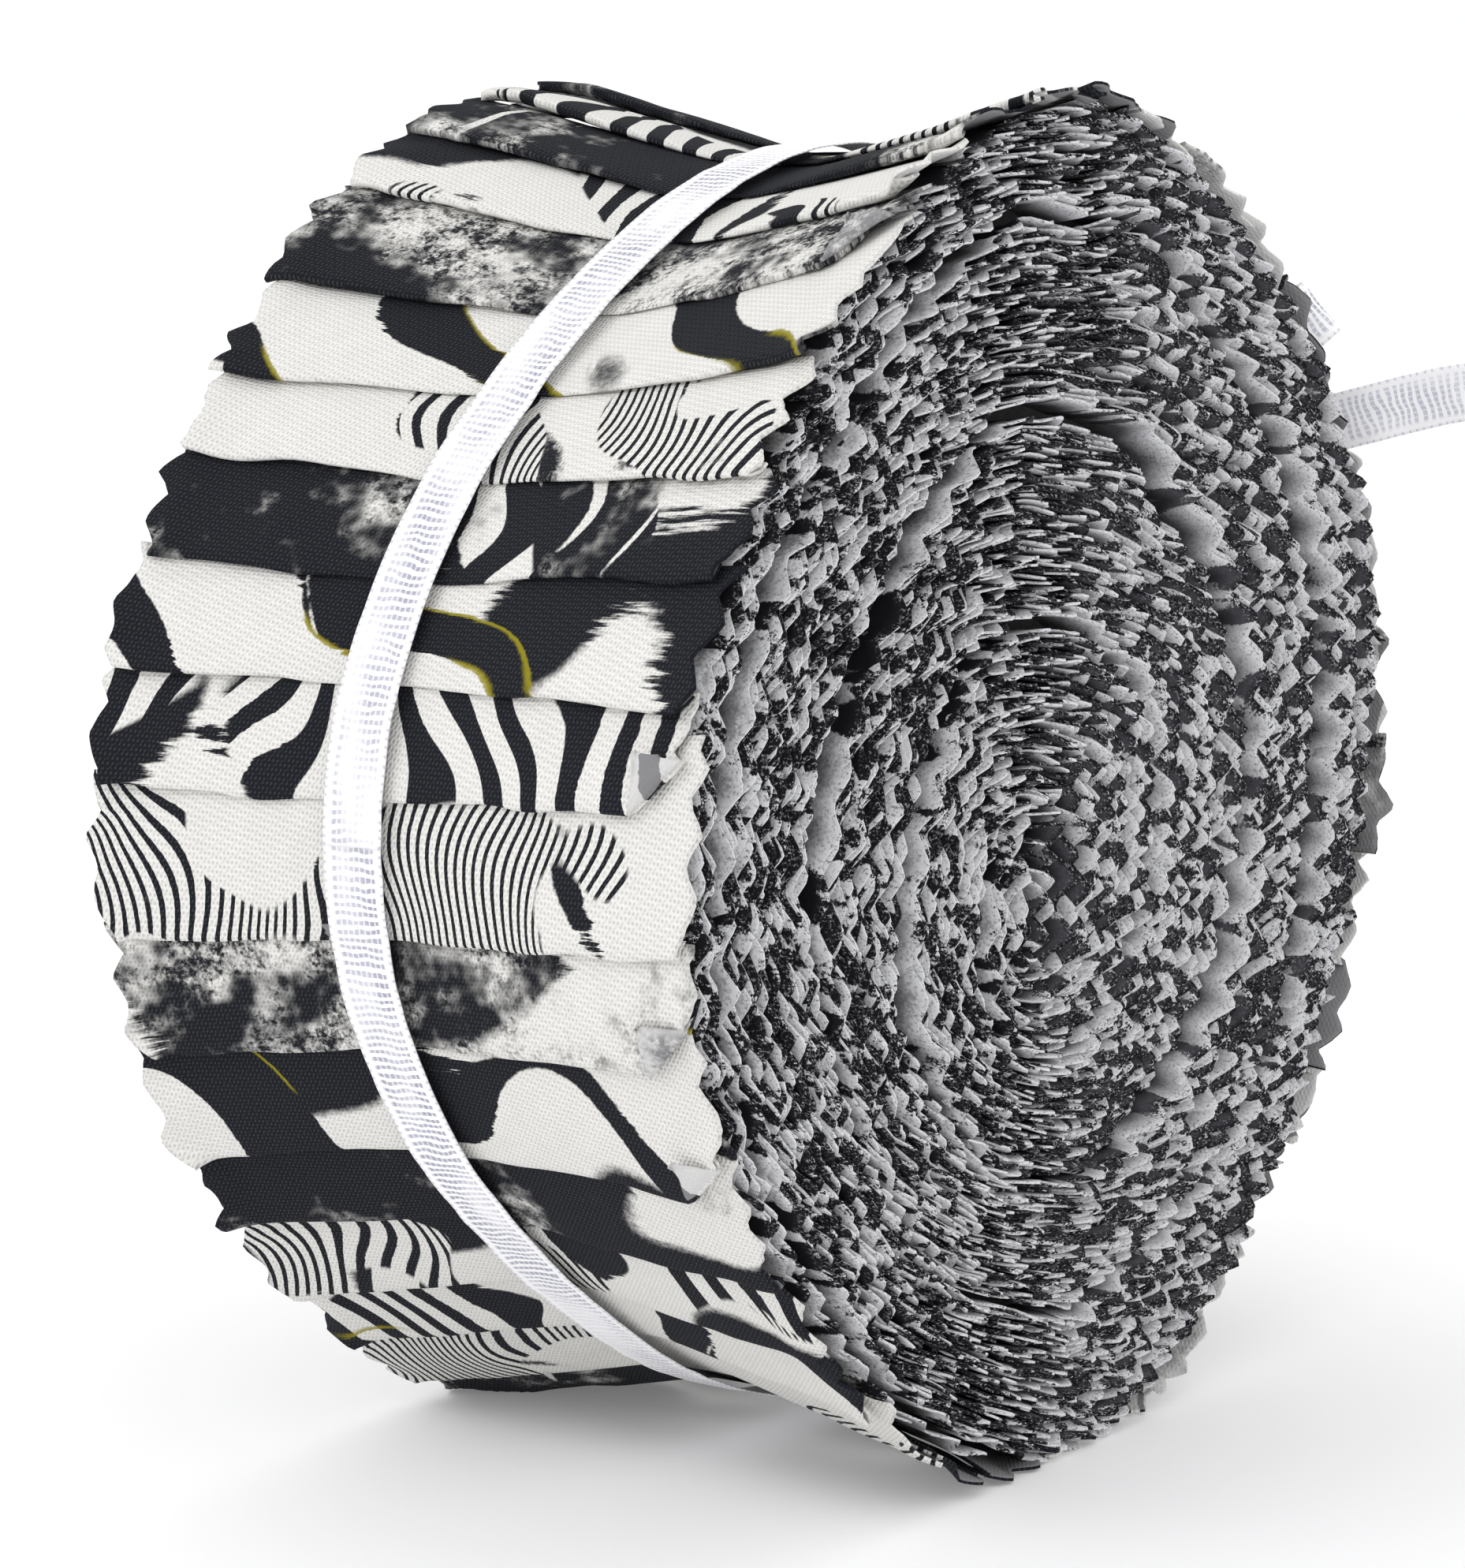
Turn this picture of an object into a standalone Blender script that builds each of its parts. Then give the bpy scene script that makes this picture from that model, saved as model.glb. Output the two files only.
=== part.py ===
"""A jelly roll: precut fabric strips wound into one drum, standing on its round side, tied with a ribbon.

Row frame: metres, +Z up, origin on the floor under the middle of the drum.
+X is the axis of the winding, -Y the side of the wall that faces the front.
An angle on the wall runs from the front (0) over the top (90) to the back (180).
"""
import math
import random

import bmesh
import bpy
from mathutils import Vector

MM = 0.001

# The drum: strips 63.5 mm (2.5 in) wide, wound to about 128 mm.
STRIP_WIDTH = 63.5 * MM
HALF_WIDTH = STRIP_WIDTH / 2
MEAN_RADIUS = 63.7 * MM
OVAL = 0.6 * MM              # two-fold and four-fold unevenness of the round
SQUARENESS = 1.7 * MM
RIM_FLARE = 0.6 * MM         # the strip ends stand out a little at both rims
FLARE_REACH = 5.0 * MM
FLAT_DEPTH = 1.4 * MM        # how far the small flat spot is pressed into the rims
STEP_HEIGHT = 1.3 * MM       # each strip's end lies on the one before it
STEP_UNDER_RIBBON = 0.35     # share of the step that is left where the ribbon presses
TOOTH_DEPTH = 1.2 * MM       # half the depth of the pinked edge

# Where the strips' ends lie on the part of the wall that shows, as angles at the two rims.
FRONT_ENDS_DEG = [
    dict(near=-46.1, far=-50.7),
    dict(near=-36.2, far=-38.8),
    dict(near=-26.2, far=-30.3),
    dict(near=-14.5, far=-19.8),
    dict(near=-5.2, far=-8.7),
    dict(near=4.8, far=2.9),
    dict(near=12.5, far=12.4),
    dict(near=22.5, far=21.6),
    dict(near=31.0, far=31.4),
    dict(near=41.8, far=39.2),
    dict(near=53.8, far=49.0),
    dict(near=63.0, far=62.0),
    dict(near=71.0, far=72.0),
]
STRIP_ENDS = 36
END_JITTER_DEG = 1.0
SEED = 7

# One strip between two ends: where its columns lie, how high it stands, and its pinked edge.
STRIP_COLUMNS = [
    dict(along=0.0, height=1.0, tooth=1),
    dict(along=0.35, height=0.85, tooth=-1),
    dict(along=0.72, height=0.45, tooth=1),
    dict(along=0.97, height=0.0, tooth=-1),
]

# The end faces: one spiral ridge of the winding, a domed middle and an oval hollow core.
SPIRAL_TURNS = 5
SPIRAL_RADIUS = 61.0 * MM
RIDGE_HEIGHT = 1.1 * MM
GROOVE_DEPTH = 0.9 * MM
DOME = 0.3 * MM
CORE_RADIUS = 6.0 * MM
CORE_DEPTH = 2.5 * MM
CORE_STRETCH = 0.45
CORE_TILT = math.radians(70)
FACE_SWAY = 0.4 * MM

# The ribbon band, 6.3 mm wide.
RIBBON_WIDTH = 6.3 * MM
RIBBON_THICK = 1.0 * MM
GAP = 0.35 * MM
BAND_STATIONS = 108
PRESS_HALF = 4.0 * MM        # half the width of the strip of wall that the ribbon presses flat
WAIST_REACH = 26.0 * MM

# The tie behind the drum.
KNOT_ANGLE = math.radians(154)
KNOT_SIZE = Vector((9.0, 8.0, 5.2)) * MM      # along X, round the wall, off the wall
KNOT_BEVEL = 1.6 * MM
KNOT_SEAT = 0.65 * MM        # the knot's flat underside over the curved band
ROOT_WIDTH = 3.0 * MM
SPREAD = 8.0 * MM            # length over which the ribbon opens from the knot to its full width
LOOP_ROOT = 1.7 * MM
LOOP_HEIGHT = 11.0 * MM
LOOP_STATIONS = 26
LOOP_LIFT = 1.25 * MM        # how far off the wall's side the loops leave the knot
ROOT_START = 1.3 * MM        # from the knot's side to a loop's or tail's centre line, which leaves it aslant
LOOP_RISE = 1.7 * MM         # the loops leave the knot's upper half, the tails its lower half
TAIL_DROP = 1.2 * MM         # how far on the wall's side the tails leave the knot
TAIL_FALL = 2.1 * MM

# The bow's loops: where each one's far end lies, from the drum's centre.
LOOP_ENDS = dict(
    bow_loop_a=Vector((28.0, 57.5, 43.5)) * MM,
    bow_loop_b=Vector((-24.0, 60.5, 41.0)) * MM,
)

# The free ends: points of each route, from the drum's centre, past its root at the knot.
TAIL_ROUTES = dict(
    ribbon_tail_a=[
        (10.5, 59.3, 25.0), (15.0, 60.4, 26.6), (20.5, 61.4, 28.7), (27.0, 62.4, 31.0), (34.0, 64.2, 33.0),
        (41.0, 66.2, 34.6), (48.0, 68.6, 34.6), (54.0, 71.2, 32.4), (58.0, 73.6, 28.0),
        (60.2, 75.6, 22.0), (60.8, 77.0, 15.5),
    ],
    ribbon_tail_b=[
        (-7.0, 61.5, 25.0), (-11.0, 65.6, 19.5), (-13.4, 69.0, 11.5), (-14.4, 70.6, 3.0),
        (-14.4, 71.0, -6.0), (-13.6, 71.0, -15.0), (-12.4, 70.8, -24.0), (-11.4, 70.8, -32.0),
    ],
)
TAIL_FLAT = dict(
    ribbon_tail_a=Vector((0.0, -0.30, 0.95)),
    ribbon_tail_b=Vector((1.0, 0.0, 0.15)),
)
TAIL_SUBSTEPS = 2

COTTON = dict(color=(0.42, 0.42, 0.44, 1.0), roughness=0.9)
RIBBON = dict(color=(0.86, 0.86, 0.92, 1.0), roughness=0.45)


def lerp(a, b, t):
    return a + (b - a) * t


def round_radius(angle):
    return MEAN_RADIUS + OVAL * math.cos(2 * angle) + SQUARENESS * math.cos(4 * angle)


def ribbon_x(angle):
    """The band runs a little askew: left of the middle in front, right of it over the top."""
    return (1.55 - 3.1 * math.cos(angle) - 2.65 * math.cos(2 * angle)) * MM


def waist_depth(angle):
    """How far the ribbon pulls the wall in: most over the top and below."""
    return (3.9 + 0.5 * math.sin(angle) - 1.3 * math.cos(2 * angle)) * MM


FLOOR_DROP = MEAN_RADIUS - OVAL + SQUARENESS + RIM_FLARE - FLAT_DEPTH


def on_section(x, radius, angle):
    """A point of the drum in the row frame, pressed flat where it would pass the floor."""
    z = radius * math.sin(angle) + FLOOR_DROP
    return Vector((x, -radius * math.cos(angle), max(z, 0.0)))


def waist_share(x, angle):
    """1 under the ribbon, falling to 0 towards the rims."""
    away = max(0.0, abs(x - ribbon_x(angle)) - PRESS_HALF)
    return max(0.0, 1 - (away / WAIST_REACH) ** 1.15)


def wall_radius(x, angle, step):
    pulled = waist_share(x, angle)
    out = max(0.0, 1 - (HALF_WIDTH - abs(x)) / FLARE_REACH)
    step_here = step * lerp(1.0, STEP_UNDER_RIBBON, pulled ** 3)
    return round_radius(angle) - waist_depth(angle) * pulled + RIM_FLARE * out + step_here


def strip_ends():
    """Angle of every strip's end at the near and the far rim, in order round the wall."""
    ends = [dict(near=math.radians(row["near"]), far=math.radians(row["far"])) for row in FRONT_ENDS_DEG]
    hidden = STRIP_ENDS - len(ends)
    first, last = ends[0], ends[-1]
    jitter = random.Random(SEED)
    for i in range(1, hidden + 1):
        t = i / (hidden + 1)
        nudge = math.radians(jitter.uniform(-END_JITTER_DEG, END_JITTER_DEG))
        ends.append(dict(
            near=lerp(last["near"], first["near"] + math.tau, t) + nudge,
            far=lerp(last["far"], first["far"] + math.tau, t) + nudge,
        ))
    return ends


def wall_columns():
    """The columns round the wall: angle at each rim, height of the step there, side of the pinked edge."""
    ends = strip_ends()
    columns = []
    for k, end in enumerate(ends):
        after = ends[(k + 1) % len(ends)]
        turn = math.tau if k == len(ends) - 1 else 0.0
        for row in STRIP_COLUMNS:
            columns.append(dict(
                near=lerp(end["near"], after["near"] + turn, row["along"]),
                far=lerp(end["far"], after["far"] + turn, row["along"]),
                step=STEP_HEIGHT * row["height"],
                tooth=TOOTH_DEPTH * row["tooth"],
            ))
    return columns


def column_angle(column, x):
    return lerp(column["far"], column["near"], (x + HALF_WIDTH) / STRIP_WIDTH)


def add_sheet(mesh, rows):
    """Quads between rows of points; points that coincide are merged once all sheets are in."""
    grid = [[mesh.verts.new(point) for point in row] for row in rows]
    for low, high in zip(grid, grid[1:]):
        for i in range(len(low) - 1):
            mesh.faces.new((low[i], low[i + 1], high[i + 1], high[i]))


def finish(mesh, name, material, smooth_deg=None):
    bmesh.ops.remove_doubles(mesh, verts=mesh.verts, dist=0.001 * MM)
    bmesh.ops.triangulate(mesh, faces=mesh.faces)
    bmesh.ops.recalc_face_normals(mesh, faces=mesh.faces)
    data = bpy.data.meshes.new(name)
    mesh.to_mesh(data)
    mesh.free()
    data.materials.append(material)
    if smooth_deg is not None:
        data.shade_smooth()
        data.set_sharp_from_angle(angle=math.radians(smooth_deg))
    made = bpy.data.objects.new(name, data)
    bpy.context.scene.collection.objects.link(made)
    return made


def principled(name, look):
    material = bpy.data.materials.new(name)
    material.use_nodes = True
    shader = material.node_tree.nodes["Principled BSDF"]
    shader.inputs["Base Color"].default_value = look["color"]
    shader.inputs["Roughness"].default_value = look["roughness"]
    shader.inputs["Metallic"].default_value = 0.0
    return material


def wall_rows(columns):
    """Rings from the far rim to the near one, close together beside the ribbon."""
    rows = []
    for place in ("far", "far in", "far slope", "far press", "near press", "near slope", "near in", "near"):
        row = []
        for column in columns + columns[:1]:
            middle = ribbon_x(column_angle(column, 0.0))
            x = {
                "far": -HALF_WIDTH, "far in": FLARE_REACH - HALF_WIDTH,
                "far slope": middle - 3 * PRESS_HALF, "far press": middle - PRESS_HALF,
                "near press": middle + PRESS_HALF, "near slope": middle + 3 * PRESS_HALF,
                "near in": HALF_WIDTH - FLARE_REACH, "near": HALF_WIDTH,
            }[place]
            angle = column_angle(column, x)
            tooth = {"far": -column["tooth"], "near": column["tooth"]}.get(place, 0.0)
            row.append(on_section(x + tooth, wall_radius(x, angle, column["step"]), angle))
        rows.append(row)
    return rows


def face_point(side, radius, angle, ridge):
    """A point of an end face: dome, slow sway of the winding, ridge or groove, and the oval core."""
    share = radius / SPIRAL_RADIUS
    across = radius * math.cos(angle - CORE_TILT) / CORE_RADIUS
    along = radius * math.sin(angle - CORE_TILT) / CORE_RADIUS * CORE_STRETCH
    core = math.exp(-(across * across + along * along))
    sway = FACE_SWAY * share * math.sin(2 * angle + side)
    x = HALF_WIDTH + DOME * (1 - share * share) + sway + ridge - CORE_DEPTH * core
    return on_section(side * x, radius * round_radius(angle) / MEAN_RADIUS, angle)


def add_face(mesh, columns, side):
    """The winding is one strip that spirals out; past its last turn it runs into the rim."""
    rim_x = side * HALF_WIDTH
    angles = [column_angle(column, rim_x) for column in columns]
    pitch = SPIRAL_RADIUS / (SPIRAL_TURNS + 1)
    count = len(columns)
    inner, middle, outer = [], [], []
    for i in range((SPIRAL_TURNS + 2) * count + 1):
        angle = angles[i % count] + math.tau * (i // count)
        run = i / count - 1
        for row, lane in ((inner, 0.0), (middle, 0.5), (outer, 1.0)):
            radius = min(max((run + lane) * pitch, 0.0), SPIRAL_RADIUS)
            inside = 0.0 < radius < SPIRAL_RADIUS
            ridge = RIDGE_HEIGHT if lane == 0.5 and inside else -GROOVE_DEPTH
            row.append(face_point(side, radius, angle, ridge))
    add_sheet(mesh, (inner, middle, outer))
    rim, ring = [], []
    for column, angle in zip(columns + columns[:1], angles + [angles[0] + math.tau]):
        rim.append(on_section(rim_x + side * column["tooth"], wall_radius(rim_x, angle, column["step"]), angle))
        ring.append(face_point(side, SPIRAL_RADIUS, angle, -GROOVE_DEPTH))
    add_sheet(mesh, (ring, rim))


def make_roll(material):
    columns = wall_columns()
    mesh = bmesh.new()
    add_sheet(mesh, wall_rows(columns))
    add_face(mesh, columns, 1)
    add_face(mesh, columns, -1)
    return finish(mesh, "roll", material, smooth_deg=35)


def flat_ribbon(name, material, centres, flats, widths, closed=False):
    """A ribbon's solid: a flat section carried along its centre line."""
    mesh = bmesh.new()
    rows = [[], [], [], []]
    count = len(centres)
    for i, (centre, flat, width) in enumerate(zip(centres, flats, widths)):
        before = centres[(i - 1) % count] if closed else centres[max(i - 1, 0)]
        after = centres[(i + 1) % count] if closed else centres[min(i + 1, count - 1)]
        ahead = (after - before).normalized()
        across = (flat - ahead * flat.dot(ahead)).normalized() * width / 2
        off = ahead.cross(across).normalized() * RIBBON_THICK / 2
        for row, corner in zip(rows, (across + off, off - across, -across - off, across - off)):
            row.append(centre + corner)
    if closed:
        for row in rows:
            row.append(row[0])
    add_sheet(mesh, rows + rows[:1])
    bmesh.ops.remove_doubles(mesh, verts=mesh.verts, dist=0.001 * MM)
    if not closed:
        bmesh.ops.holes_fill(mesh, edges=mesh.edges, sides=4)
    return finish(mesh, name, material, smooth_deg=35)


def band_radius(angle):
    """The taut band lies on the highest of the pressed steps."""
    lips = STEP_HEIGHT * STEP_UNDER_RIBBON
    return round_radius(angle) - waist_depth(angle) + lips + GAP + RIBBON_THICK / 2


def make_band(material):
    angles = [math.tau * i / BAND_STATIONS for i in range(BAND_STATIONS)]
    centres = [on_section(ribbon_x(a), band_radius(a), a) for a in angles]
    flats = [Vector((1.0, 0.0, 0.0))] * BAND_STATIONS
    return flat_ribbon("ribbon_band", material, centres, flats, [RIBBON_WIDTH] * BAND_STATIONS, closed=True)


def knot_frame():
    """Centre of the knot and its three directions: along X, up the wall, off the wall."""
    off = Vector((0.0, -math.cos(KNOT_ANGLE), math.sin(KNOT_ANGLE)))
    up = Vector((0.0, -math.sin(KNOT_ANGLE), -math.cos(KNOT_ANGLE)))
    radius = band_radius(KNOT_ANGLE) + RIBBON_THICK / 2 + KNOT_SEAT + KNOT_SIZE.z / 2
    centre = on_section(ribbon_x(KNOT_ANGLE), radius, KNOT_ANGLE)
    return centre, Vector((1.0, 0.0, 0.0)), up, off


def make_knot(material):
    centre, along, up, off = knot_frame()
    mesh = bmesh.new()
    bmesh.ops.create_cube(mesh, size=1.0)
    bmesh.ops.bevel(
        mesh, geom=mesh.edges[:], offset=KNOT_BEVEL / KNOT_SIZE.x, segments=3, profile=0.5, affect="EDGES",
    )
    for vert in mesh.verts:
        place = Vector((vert.co.x * KNOT_SIZE.x, vert.co.y * KNOT_SIZE.y, vert.co.z * KNOT_SIZE.z))
        vert.co = centre + along * place.x + up * place.y + off * place.z
    return finish(mesh, "ribbon_knot", material, smooth_deg=50)


def opened_width(distance):
    """The ribbon leaves the knot gathered and spreads to its full width."""
    t = min(distance / SPREAD, 1.0)
    return lerp(ROOT_WIDTH, RIBBON_WIDTH, t * t * (3 - 2 * t))


def make_loop(name, material):
    centre, along, up, off = knot_frame()
    end = LOOP_ENDS[name] + Vector((0.0, 0.0, FLOOR_DROP))
    side = 1 if end.x > centre.x else -1
    root = centre + along * side * (KNOT_SIZE.x / 2 + ROOT_START) + off * LOOP_LIFT + up * LOOP_RISE
    reach = end - root
    out = reach.normalized()
    face = (off - out * off.dot(out)).normalized()
    centres, widths = [], []
    for i in range(LOOP_STATIONS):
        t = math.pi * i / (LOOP_STATIONS - 1)
        bulge = LOOP_ROOT + (LOOP_HEIGHT - LOOP_ROOT) * math.sin(t) ** 2
        centres.append(root + out * reach.length * math.sin(t) - face * math.cos(t) * bulge / 2)
        widths.append(opened_width(reach.length * math.sin(t)))
    flats = [out.cross(face)] * LOOP_STATIONS
    return flat_ribbon(name, material, centres, flats, widths)


def smooth_route(points, substeps):
    """A Catmull-Rom curve through the route's points."""
    padded = [points[0] * 2 - points[1]] + points + [points[-1] * 2 - points[-2]]
    route = []
    for a, b, c, d in zip(padded, padded[1:], padded[2:], padded[3:]):
        for i in range(substeps):
            t = i / substeps
            route.append(0.5 * (
                b * 2 + (c - a) * t + (a * 2 - b * 5 + c * 4 - d) * t ** 2 + (b * 3 - a - c * 3 + d) * t ** 3
            ))
    return route + [points[-1]]


def make_tail(name, material):
    centre, along, up, off = knot_frame()
    raised = Vector((0.0, 0.0, FLOOR_DROP))
    points = [Vector(p) * MM + raised for p in TAIL_ROUTES[name]]
    side = 1 if points[0].x > centre.x else -1
    root = centre + along * side * (KNOT_SIZE.x / 2 + ROOT_START) - off * TAIL_DROP - up * TAIL_FALL
    route = smooth_route([root] + points, TAIL_SUBSTEPS)
    lengths = [0.0]
    for a, b in zip(route, route[1:]):
        lengths.append(lengths[-1] + (b - a).length)
    flats = [up.lerp(TAIL_FLAT[name], min(run / (3 * SPREAD), 1.0)) for run in lengths]
    return flat_ribbon(name, material, route, flats, [opened_width(run) for run in lengths])


def main():
    for thing in list(bpy.data.objects):
        bpy.data.objects.remove(thing, do_unlink=True)
    cotton = principled("printed_cotton", COTTON)
    ribbon = principled("sheer_ribbon", RIBBON)
    make_roll(cotton)
    make_band(ribbon)
    make_knot(ribbon)
    for name in LOOP_ENDS:
        make_loop(name, ribbon)
    for name in TAIL_ROUTES:
        make_tail(name, ribbon)


main()
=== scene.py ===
import math
import random

import bmesh
import bpy
import numpy as np
from mathutils import Matrix, Vector


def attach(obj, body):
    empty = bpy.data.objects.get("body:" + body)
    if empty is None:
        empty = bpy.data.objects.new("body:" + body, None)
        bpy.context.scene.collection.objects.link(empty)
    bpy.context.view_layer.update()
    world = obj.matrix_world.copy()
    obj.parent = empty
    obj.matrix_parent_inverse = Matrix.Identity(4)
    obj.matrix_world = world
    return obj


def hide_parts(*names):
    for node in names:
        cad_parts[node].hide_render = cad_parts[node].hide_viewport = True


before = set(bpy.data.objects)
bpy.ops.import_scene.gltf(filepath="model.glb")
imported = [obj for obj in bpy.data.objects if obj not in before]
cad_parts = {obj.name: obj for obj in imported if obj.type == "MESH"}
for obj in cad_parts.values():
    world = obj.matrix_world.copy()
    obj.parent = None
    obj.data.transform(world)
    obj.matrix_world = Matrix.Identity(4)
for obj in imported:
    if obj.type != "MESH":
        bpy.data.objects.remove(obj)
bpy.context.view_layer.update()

mm = 0.001
uvSize = 100.0    # mm of cloth in one unit of UV
body = "root"


def lerp(a, b, t):
    return a + (b - a) * t


def eased(t):
    return t * t * (3 - 2 * t)


def unit(v):
    return v / np.maximum(np.linalg.norm(v, axis=-1, keepdims=True), 1e-9)


def runAlong(line):
    return np.concatenate([[0], np.cumsum(np.linalg.norm(np.diff(line, axis=0), axis=1))])


def addObject(name, data):
    made = bpy.data.objects.new(name, data)
    bpy.context.scene.collection.objects.link(made)
    return made


# Camera, at the photograph's angle. Lengths are in mm here and below.
view = dict(
    target=(0.0, 0.0, 64.0),            # the middle of the drum
    direction=(0.534, -0.834, 0.137),   # from the drum to the camera
    distance=445.9, lens=104.56, shiftX=-0.0403, shiftY=-0.0118, clipStart=0.01,
)


def makeCamera():
    data = bpy.data.cameras.new("camera")
    data.lens = view["lens"]
    data.shift_x = view["shiftX"]
    data.shift_y = view["shiftY"]
    data.clip_start = view["clipStart"]
    camera = addObject("camera", data)
    direction = Vector(view["direction"]).normalized()
    camera.location = (Vector(view["target"]) + direction * view["distance"]) * mm
    camera.rotation_euler = direction.to_track_quat("Z", "Y").to_euler()
    bpy.context.scene.camera = camera


makeCamera()
print("camera set")


# The drum's own shape, as packed. Turns run from the front over the top to the back.
drum = dict(
    halfWidth=31.75, radius=63.7, oval=0.6, square=1.7, rimFlare=0.6, flareReach=5.0,
    ribbonPath=(1.55, -3.1, -2.65),     # where the ribbon lies: middle, and swing once and twice a turn
    waist=(3.9, 0.5, -1.3),             # how deep it presses, in the same way
    pressHalf=4.0, waistReach=26.0, waistPower=1.15,
    stepHeight=1.3, stepPressed=0.35, centreHeight=64.0, clear=0.1,
)


def roundRadius(turn):
    return drum["radius"] + drum["oval"] * np.cos(2 * turn) + drum["square"] * np.cos(4 * turn)


def ribbonX(turn):
    middle, once, twice = drum["ribbonPath"]
    return middle + once * np.cos(turn) + twice * np.cos(2 * turn)


def waistDepth(turn):
    middle, once, twice = drum["waist"]
    return middle + once * np.sin(turn) + twice * np.cos(2 * turn)


def waistShare(x, turn):
    away = np.maximum(0.0, np.abs(x - ribbonX(turn)) - drum["pressHalf"])
    return np.maximum(0.0, 1 - (away / drum["waistReach"]) ** drum["waistPower"])


def wallRadius(x, turn, lift):
    pulled = waistShare(x, turn)
    flare = np.maximum(0.0, 1 - (drum["halfWidth"] - np.abs(x)) / drum["flareReach"])
    pressed = lerp(1.0, drum["stepPressed"], pulled ** 3)
    return roundRadius(turn) - waistDepth(turn) * pulled + drum["rimFlare"] * flare + lift * pressed


def onDrum(x, radius, turn, clear=drum["clear"]):
    x, radius, turn = np.broadcast_arrays(x, radius, turn)
    height = np.maximum(radius * np.sin(turn) + drum["centreHeight"], clear)
    return np.stack([x, -radius * np.cos(turn), height], -1)


# Smooth seeded noise between -1 and 1. Each use has its own seed.
noiseTable = dict(seed=11, size=4096, seedStep=131)
noiseSource = np.random.default_rng(noiseTable["seed"])
noiseOrder = noiseSource.permutation(noiseTable["size"])
noiseValues = noiseSource.uniform(-1, 1, noiseTable["size"])


def wander(x, y=0.0, seed=0):
    x, y = np.broadcast_arrays(np.asarray(x, float), np.asarray(y, float))
    left, low = np.floor(x), np.floor(y)
    across, up = eased(x - left), eased(y - low)
    wrap = noiseTable["size"] - 1

    def at(i, j):
        first = noiseOrder[(left + i + noiseTable["seedStep"] * seed).astype(int) & wrap]
        return noiseValues[noiseOrder[(first + low + j).astype(int) & wrap]]

    return lerp(lerp(at(0, 0), at(1, 0), across), lerp(at(0, 1), at(1, 1), across), up)


def triangle(phase):
    return 1 - 4 * np.abs(phase - np.floor(phase) - 0.5)


# One piece of cloth from sheets. A sheet is a grid of places, with its flat place as UV and marks for its finish.
def makeCloth(name, sheets, node, materials):
    shape = bmesh.new()
    for sheet in sheets:
        rows, columns = sheet["place"].shape[:2]
        bmesh.ops.create_grid(shape, x_segments=columns - 1, y_segments=rows - 1, size=1.0)
    mesh = bpy.data.meshes.new(name)
    shape.to_mesh(mesh)
    shape.free()
    places = np.concatenate([sheet["place"].reshape(-1, 3) for sheet in sheets]) * mm
    mesh.vertices.foreach_set("co", places.astype(np.float32).ravel())
    corners = np.zeros(len(mesh.loops), np.int32)
    mesh.loops.foreach_get("vertex_index", corners)
    flat = np.concatenate([sheet["uv"].reshape(-1, 2) for sheet in sheets]) / uvSize
    mesh.uv_layers.new(name="cloth").data.foreach_set("uv", flat[corners].astype(np.float32).ravel())
    for mark in sheets[0]["marks"]:
        values = np.concatenate([
            np.broadcast_to(sheet["marks"][mark], sheet["place"].shape[:2]).ravel() for sheet in sheets])
        mesh.attributes.new(mark, "FLOAT", "POINT").data.foreach_set("value", values.astype(np.float32))
    mesh.polygons.foreach_set("use_smooth", np.full(len(mesh.polygons), True))
    mesh.update()
    made = addObject(name, mesh)
    for material in materials:
        mesh.materials.append(material)
    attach(made, body)
    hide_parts(node)
    return made


def thicken(piece, thickness, offset=0.0, reverse=0):
    wall = piece.modifiers.new("thickness", "SOLIDIFY")
    wall.thickness = thickness * mm
    wall.offset = offset
    wall.material_offset = reverse
    wall.use_even_offset = False


# Shader maths: an expression on values adds its Math nodes.
class Value:
    def __init__(self, finish, socket):
        self.finish, self.socket = finish, socket

    def __add__(self, other):
        return self.finish.maths("ADD", self, other)

    def __sub__(self, other):
        return self.finish.maths("SUBTRACT", self, other)

    def __rsub__(self, other):
        return self.finish.maths("SUBTRACT", other, self)

    def __mul__(self, other):
        return self.finish.maths("MULTIPLY", self, other)

    __radd__ = __add__
    __rmul__ = __mul__


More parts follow.
